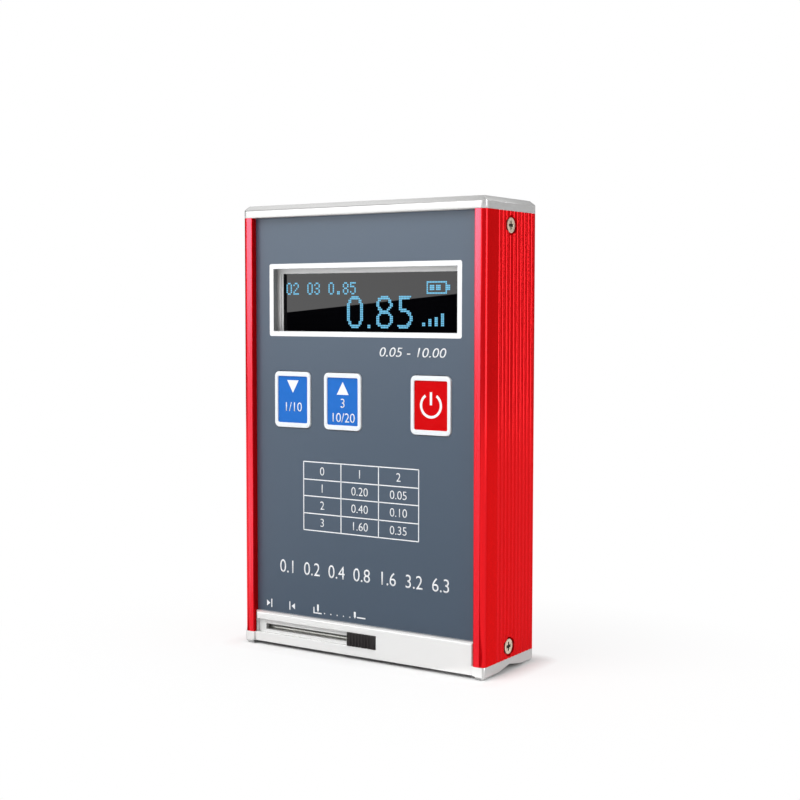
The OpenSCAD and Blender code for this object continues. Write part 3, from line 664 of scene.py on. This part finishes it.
# The front panel: a sheet of aluminium, printed matt blue-grey, slid down between the rails.
# Its marks are white screen print: the display's border, a table of plain numbers and the stylus marks.
# Its cut edges and its back are a paler, plain grey.
panel_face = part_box("front_panel")[0][1]
panel_grey = grained("panel_grey", tone(72, 86, 102), (1800, 1800, 1800),
                     tint=0.05, rough=(0.34, 0.42), relief=0.1)
cut_grey = grained("cut_edge_grey", tone(128, 132, 132), (300, 300, 2500),
                   tint=0.1, rough=(0.4, 0.5), relief=0.1)
front_turned = -0.5
panel = dress("front_panel", panel_grey)
panel.data.materials.append(cut_grey)
for facet in panel.data.polygons:
    facet.material_index = 1 if facet.normal.y > front_turned else 0

ring_sides = 96
border_steps = 4


def ink_bar(x0, x1, z0, z1, face):
    """A straight printed line, in millimetres, on an upright face."""
    bpy.ops.object.select_all(action="DESELECT")
    bpy.ops.mesh.primitive_cube_add(size=1)
    bar = bpy.context.object
    bar.scale = ((x1 - x0) * MM, ink_thick, (z1 - z0) * MM)
    bar.location = ((x0 + x1) / 2 * MM, face - ink_thick / 2, (z0 + z1) / 2 * MM)
    bpy.ops.object.transform_apply(location=True, scale=True)
    return bar


def ink_triangle(x, z, wide, high, turn, face):
    """A printed arrow head, in millimetres. Turned by 0 it points up, and wide is across its foot.

    It starts as an even triangle in a circle of radius 1, which is the root of 3 wide and 1.5 high.
    """
    bpy.ops.object.select_all(action="DESELECT")
    bpy.ops.mesh.primitive_cylinder_add(vertices=3, radius=1, depth=ink_thick)
    head = bpy.context.object
    tall = high * MM / 1.5
    spread = Matrix.Diagonal((wide * MM / math.sqrt(3), tall, 1, 1))
    shift = Matrix.Translation((0, -0.25 * tall, 0))
    lay = Matrix.Rotation(math.pi / 2, 4, "X")
    spin = Matrix.Rotation(turn, 4, "Y")
    middle = Matrix.Translation((x * MM, face - ink_thick / 2, z * MM))
    head.matrix_world = middle @ spin @ lay @ shift @ spread
    bpy.ops.object.transform_apply(location=True, rotation=True, scale=True)
    return head


def ink_ring(x, z, radius, stroke, gap_half, face):
    """A printed ring, in millimetres, open at the top."""
    bpy.ops.object.select_all(action="DESELECT")
    bpy.ops.mesh.primitive_circle_add(vertices=ring_sides, radius=radius * MM, fill_type="NGON")
    ring = bpy.context.object
    bpy.ops.object.mode_set(mode="EDIT")
    bpy.ops.mesh.select_all(action="SELECT")
    bpy.ops.mesh.inset(thickness=stroke * MM)
    bpy.ops.mesh.delete(type="FACE")
    bpy.ops.mesh.select_all(action="DESELECT")
    bpy.ops.object.mode_set(mode="OBJECT")
    for facet in ring.data.polygons:
        facet.select = abs(math.atan2(facet.center.x, facet.center.y)) < gap_half
    bpy.ops.object.mode_set(mode="EDIT")
    bpy.ops.mesh.delete(type="FACE")
    thickened(ink_thick)
    return stood_up(ring, x * MM, z * MM, face)


def ink_border(x, z, wide, high, band, corner, face):
    """A printed rectangular border with rounded outer corners, in millimetres."""
    bpy.ops.object.select_all(action="DESELECT")
    bpy.ops.mesh.primitive_plane_add(size=1)
    border = bpy.context.object
    border.scale = (wide * MM, high * MM, 1)
    bpy.ops.object.transform_apply(scale=True)
    bpy.ops.object.mode_set(mode="EDIT")
    bpy.ops.mesh.select_all(action="SELECT")
    bpy.ops.mesh.inset(thickness=band * MM)
    bpy.ops.mesh.delete(type="FACE")
    bpy.ops.mesh.select_all(action="DESELECT")
    bpy.ops.object.mode_set(mode="OBJECT")
    for point in border.data.vertices:
        point.select = abs(point.co.x) > (wide - band) / 2 * MM
    bpy.ops.object.mode_set(mode="EDIT")
    bpy.ops.mesh.bevel(offset=corner * MM, segments=border_steps, affect="VERTICES")
    thickened(ink_thick)
    return stood_up(border, x * MM, z * MM, face)


UP, RIGHT, DOWN, LEFT = 0.0, math.pi / 2, math.pi, -math.pi / 2

# The display's border and the table, in millimetres. The numbers stand in the middle of the table's cells.
border_z, border_wide, border_high = 86.7, 55.6, 17.8
border_band, border_corner = 1.2, 0.5
table_x = (-17.4, -6.1, 4.9, 16.25)
table_z = (30.1, 34.3, 38.6, 42.7, 47.05)
table_numbers = (("0", "1", "2"), ("1", "0.20", "0.05"), ("2", "0.40", "0.10"), ("3", "1.60", "0.35"))
line_half = 0.12
number_high = 2.0
marks = [ink_border(0, border_z, border_wide, border_high, border_band, border_corner, panel_face)]
marks += [ink_bar(x - line_half, x + line_half, table_z[0], table_z[-1], panel_face) for x in table_x]
marks += [ink_bar(table_x[0], table_x[-1], z - line_half, z + line_half, panel_face) for z in table_z]
for row, numbers in enumerate(table_numbers):
    foot = (table_z[-2 - row] + table_z[-1 - row] - number_high) / 2
    for column, number in enumerate(numbers):
        middle = (table_x[column] + table_x[column + 1]) / 2
        marks.append(lettering(number, middle * MM, foot * MM, number_high * MM, panel_face, thin=0.008))

# The row of plain numbers below the table, and the slanted pair below the display.
scale_numbers = "0.1  0.2  0.4  0.8  1.6  3.2  6.3"
scale_foot, scale_high = 18.8 * MM, 3.2 * MM
span_numbers = "0.05 - 10.00"
span_middle, span_foot, span_high = 14.2 * MM, 73.3 * MM, 2.2 * MM
marks.append(lettering(scale_numbers, 0, scale_foot, scale_high, panel_face, thin=0.004, spread=0.91))
marks.append(lettering(span_numbers, span_middle, span_foot, span_high, panel_face, thin=0.003, spread=1.22,
                       slant=0.2))

# The marks above the knob, in millimetres: two arrows that meet a stop, and the stylus at the start and the
# end of its run over a dotted line.
stop_half, stop_low, stop_high = 0.15, 9.5, 11.6
arrow_z, arrow_wide, arrow_long = 10.5, 1.5, 1.05
for stop_x, arrow_x, turn in ((-27.6, -28.6, RIGHT), (-21.85, -20.8, LEFT)):
    marks.append(ink_bar(stop_x - stop_half, stop_x + stop_half, stop_low, stop_high, panel_face))
    marks.append(ink_triangle(arrow_x, arrow_z, arrow_wide, arrow_long, turn, panel_face))
shank_half, point_long = 0.275, 0.46
for shank_x, shank_low, shank_high in ((-13.125, 10.4, 11.8), (-2.025, 10.1, 11.3)):
    marks.append(ink_bar(shank_x - shank_half, shank_x + shank_half, shank_low, shank_high, panel_face))
    point_z = shank_low - point_long / 2
    marks.append(ink_triangle(shank_x, point_z, 2 * shank_half, point_long, DOWN, panel_face))
start_ground = (-14.5, -12.0, 9.5, 9.8)
start_tick = (-14.5, -14.2, 9.8, 11.1)
end_ground = (-1.4, 1.1, 9.85, 10.15)
for stroke in (start_ground, start_tick, end_ground):
    marks.append(ink_bar(*stroke, panel_face))
run_dots, run_start, run_step = 5, -11.1, 1.9
run_z, run_half = 9.8, 0.14
for i in range(run_dots):
    x = run_start + i * run_step
    marks.append(ink_bar(x - run_half, x + run_half, run_z - run_half, run_z + run_half, panel_face))
ink_white = grained("ink_white", tone(236, 238, 240), (2500, 2500, 2500),
                    tint=0.06, rough=(0.4, 0.5), relief=0.05)
print_white = joined(marks, "panel_print")
print_white.data.materials.append(ink_white)
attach(print_white, "housing")


# The three keys: white moulded caps with a sunk coloured label, each on a plunger over its switch.
# The labels are film, printed blue or red with white signs.
key_white = grained("key_white", tone(228, 232, 236), (1200, 1200, 1200),
                    tint=0.04, rough=(0.3, 0.4), relief=0.06)
key_blue = grained("key_blue", tone(42, 110, 197), (900, 900, 900),
                   tint=0.08, rough=(0.1, 0.16), relief=0.02, ior=1.36)
key_red = grained("key_red", tone(206, 6, 12), (900, 900, 900),
                  tint=0.08, rough=(0.1, 0.16), relief=0.02, ior=1.36)
key_break = 0.12 * MM
for key, film in (("left", key_blue), ("middle", key_blue), ("power", key_red)):
    cap = softened("key_cap_" + key, "key_cap_%s_moulded" % key, key_break, "key_" + key)
    cap.data.materials.append(key_white)
    dress("key_label_" + key, film)
    dress("key_plunger_" + key, plug_white)

# The signs, in millimetres: an arrow over numbers on the blue keys, an open ring with a bar on the red one.
label_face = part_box("key_label_left")[0][1]
key_x = {"left": -20.6, "middle": -5.5, "power": 19.6}
sign_z, sign_wide, sign_high = 65.4, 3.5, 3.1
figure_high = 2.2 * MM
ring_z, ring_radius, ring_stroke, ring_gap = 62.2, 3.0, 0.6, 0.62
bar_low, bar_high = 62.3, 65.3
power_left, power_right = key_x["power"] - ring_stroke / 2, key_x["power"] + ring_stroke / 2
signs = {
    "left": [ink_triangle(key_x["left"], sign_z, sign_wide, sign_high, DOWN, label_face)],
    "middle": [ink_triangle(key_x["middle"], sign_z, sign_wide, sign_high, UP, label_face)],
    "power": [ink_ring(key_x["power"], ring_z, ring_radius, ring_stroke, ring_gap, label_face),
              ink_bar(power_left, power_right, bar_low, bar_high, label_face)],
}
for key, figures, foot in (("left", "1/10", 59.3), ("middle", "3", 60.7), ("middle", "10/20", 57.2)):
    signs[key].append(lettering(figures, key_x[key] * MM, foot * MM, figure_high, label_face, thin=0.006))
for key, parts in signs.items():
    sign = joined(parts, "key_sign_" + key)
    sign.data.materials.append(ink_white)
    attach(sign, "key_" + key)


# The drive: a milled aluminium frame on the base carries two guide rods, the lead screw and its geared motor.
# The carriage runs on the rods with the pickup under it, and the stylus arm turns on a pin in the pickup.
drive_grey = grained("milled_aluminium", (0.55, 0.56, 0.57), (1400, 300, 300),
                     tint=0.12, rough=(0.3, 0.42), relief=0.15, metal=1.0)
copper = grained("coil_copper", (0.6, 0.28, 0.12), (300, 300, 3000),
                 tint=0.3, rough=(0.3, 0.45), relief=0.5, metal=1.0)
for node in ("drive_screws", "guide_rods", "drive_motor", "lead_screw", "pivot_pin", "stylus_arm",
             "stylus_tip"):
    dress(node, steel)
for node in ("screw_bush", "drive_gearbox", "lead_nut"):
    dress(node, brass)
for node in ("drive_frame", "pickup_body"):
    dress(node, drive_grey)
dress("carriage", chip_black)
dress("sensor_coil", copper)


# The shutter: a black moulded knob in the front slot moves a runner along a satin steel rod. The runner's
# folded steel strip covers the stylus opening in the base when the knob is at the left.
knob_black = grained("knob_black", tone(46, 42, 42), (2200, 2200, 2200),
                     tint=0.2, rough=(0.35, 0.48), relief=0.12)
rod_satin = grained("rod_satin", (0.75, 0.75, 0.7), (300, 300, 300),
                    tint=0.12, rough=(0.42, 0.5), relief=0.08, metal=0.7)
knob_break = 0.06 * MM
dress("shutter_rod", rod_satin)
dress("shutter_plate", steel)
dress("shutter_runner", chip_black)
knob = softened("shutter_knob", "knob_moulded", knob_break, "shutter")
knob.data.materials.append(knob_black)


# The top cap: machined aluminium, light satin, with a chamfer all round and the charging opening.
# It is held by the two upper side screws, and its front corners are rounded as the case's are.
cap_light = grained("cap_satin", (0.6, 0.6, 0.595), (5000, 5000, 5000),
                    tint=0.03, rough=(0.27, 0.31), relief=0.02, metal=0.45)
cap_break = 0.12 * MM
crown = softened("top_cap", "top_cap_satin", cap_break, "housing")
rounder(crown)
crown.data.materials.append(cap_light)


# The bottom cap: machined aluminium, with the slotted front plate and a foot along each end.
# It is held by the two lower side screws. Its front is a lighter satin than the rest of it, which is painted
# light: the faces that look ahead are coloured brighter, and the rest take the top cap's darker finish as
# painted shade.
base_front_painted_light = grained("base_satin_front_painted_light", (0.92, 0.92, 0.91), (5000, 5000, 5000),
                     tint=0.03, rough=(0.28, 0.33), relief=0.02, metal=0.18)
base_break = 0.1 * MM
painted_light_facing = -0.9
base = softened("bottom_cap", "base_cap", base_break, "housing")
base.data.materials.append(base_front_painted_light)
base.data.materials.append(cap_light)
# Painted light and shade: the faces that look straight ahead get the light colour, all others the cap's
# darker one.
for facet in base.data.polygons:
    facet.material_index = 0 if facet.normal.y < painted_light_facing else 1


# The side screws: four small pan heads with a cross recess, plated steel, sunk in round seats in the ribs.
# They hold the two caps by their ears. The recesses and the shanks are darker than the heads: painted shade
# for the shadow in the cross recess.
screw_plate = grained("zinc_plate", (0.85, 0.72, 0.56), (1500, 1500, 1500),
                      tint=0.5, rough=(0.2, 0.34), relief=0.6, metal=0.65)
recess_painted_shade = grained("recess_painted_shade", (0.05, 0.04, 0.032), (900, 900, 900),
                      tint=0.3, rough=(0.4, 0.55), relief=0.2, metal=0.5)
screw_break = 0.12 * MM
head_skin = 0.15 * MM
head_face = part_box("side_screws")[1][0]
screws = softened("side_screws", "side_screws_steel", screw_break, "housing")
screws.data.materials.append(screw_plate)
screws.data.materials.append(recess_painted_shade)
# Painted shade: each face nearer the axis than the head's outer face, in the recess and on the shank, gets
# the dark colour.
for facet in screws.data.polygons:
    facet.material_index = 1 if abs(facet.center.x) < head_face - head_skin else 0
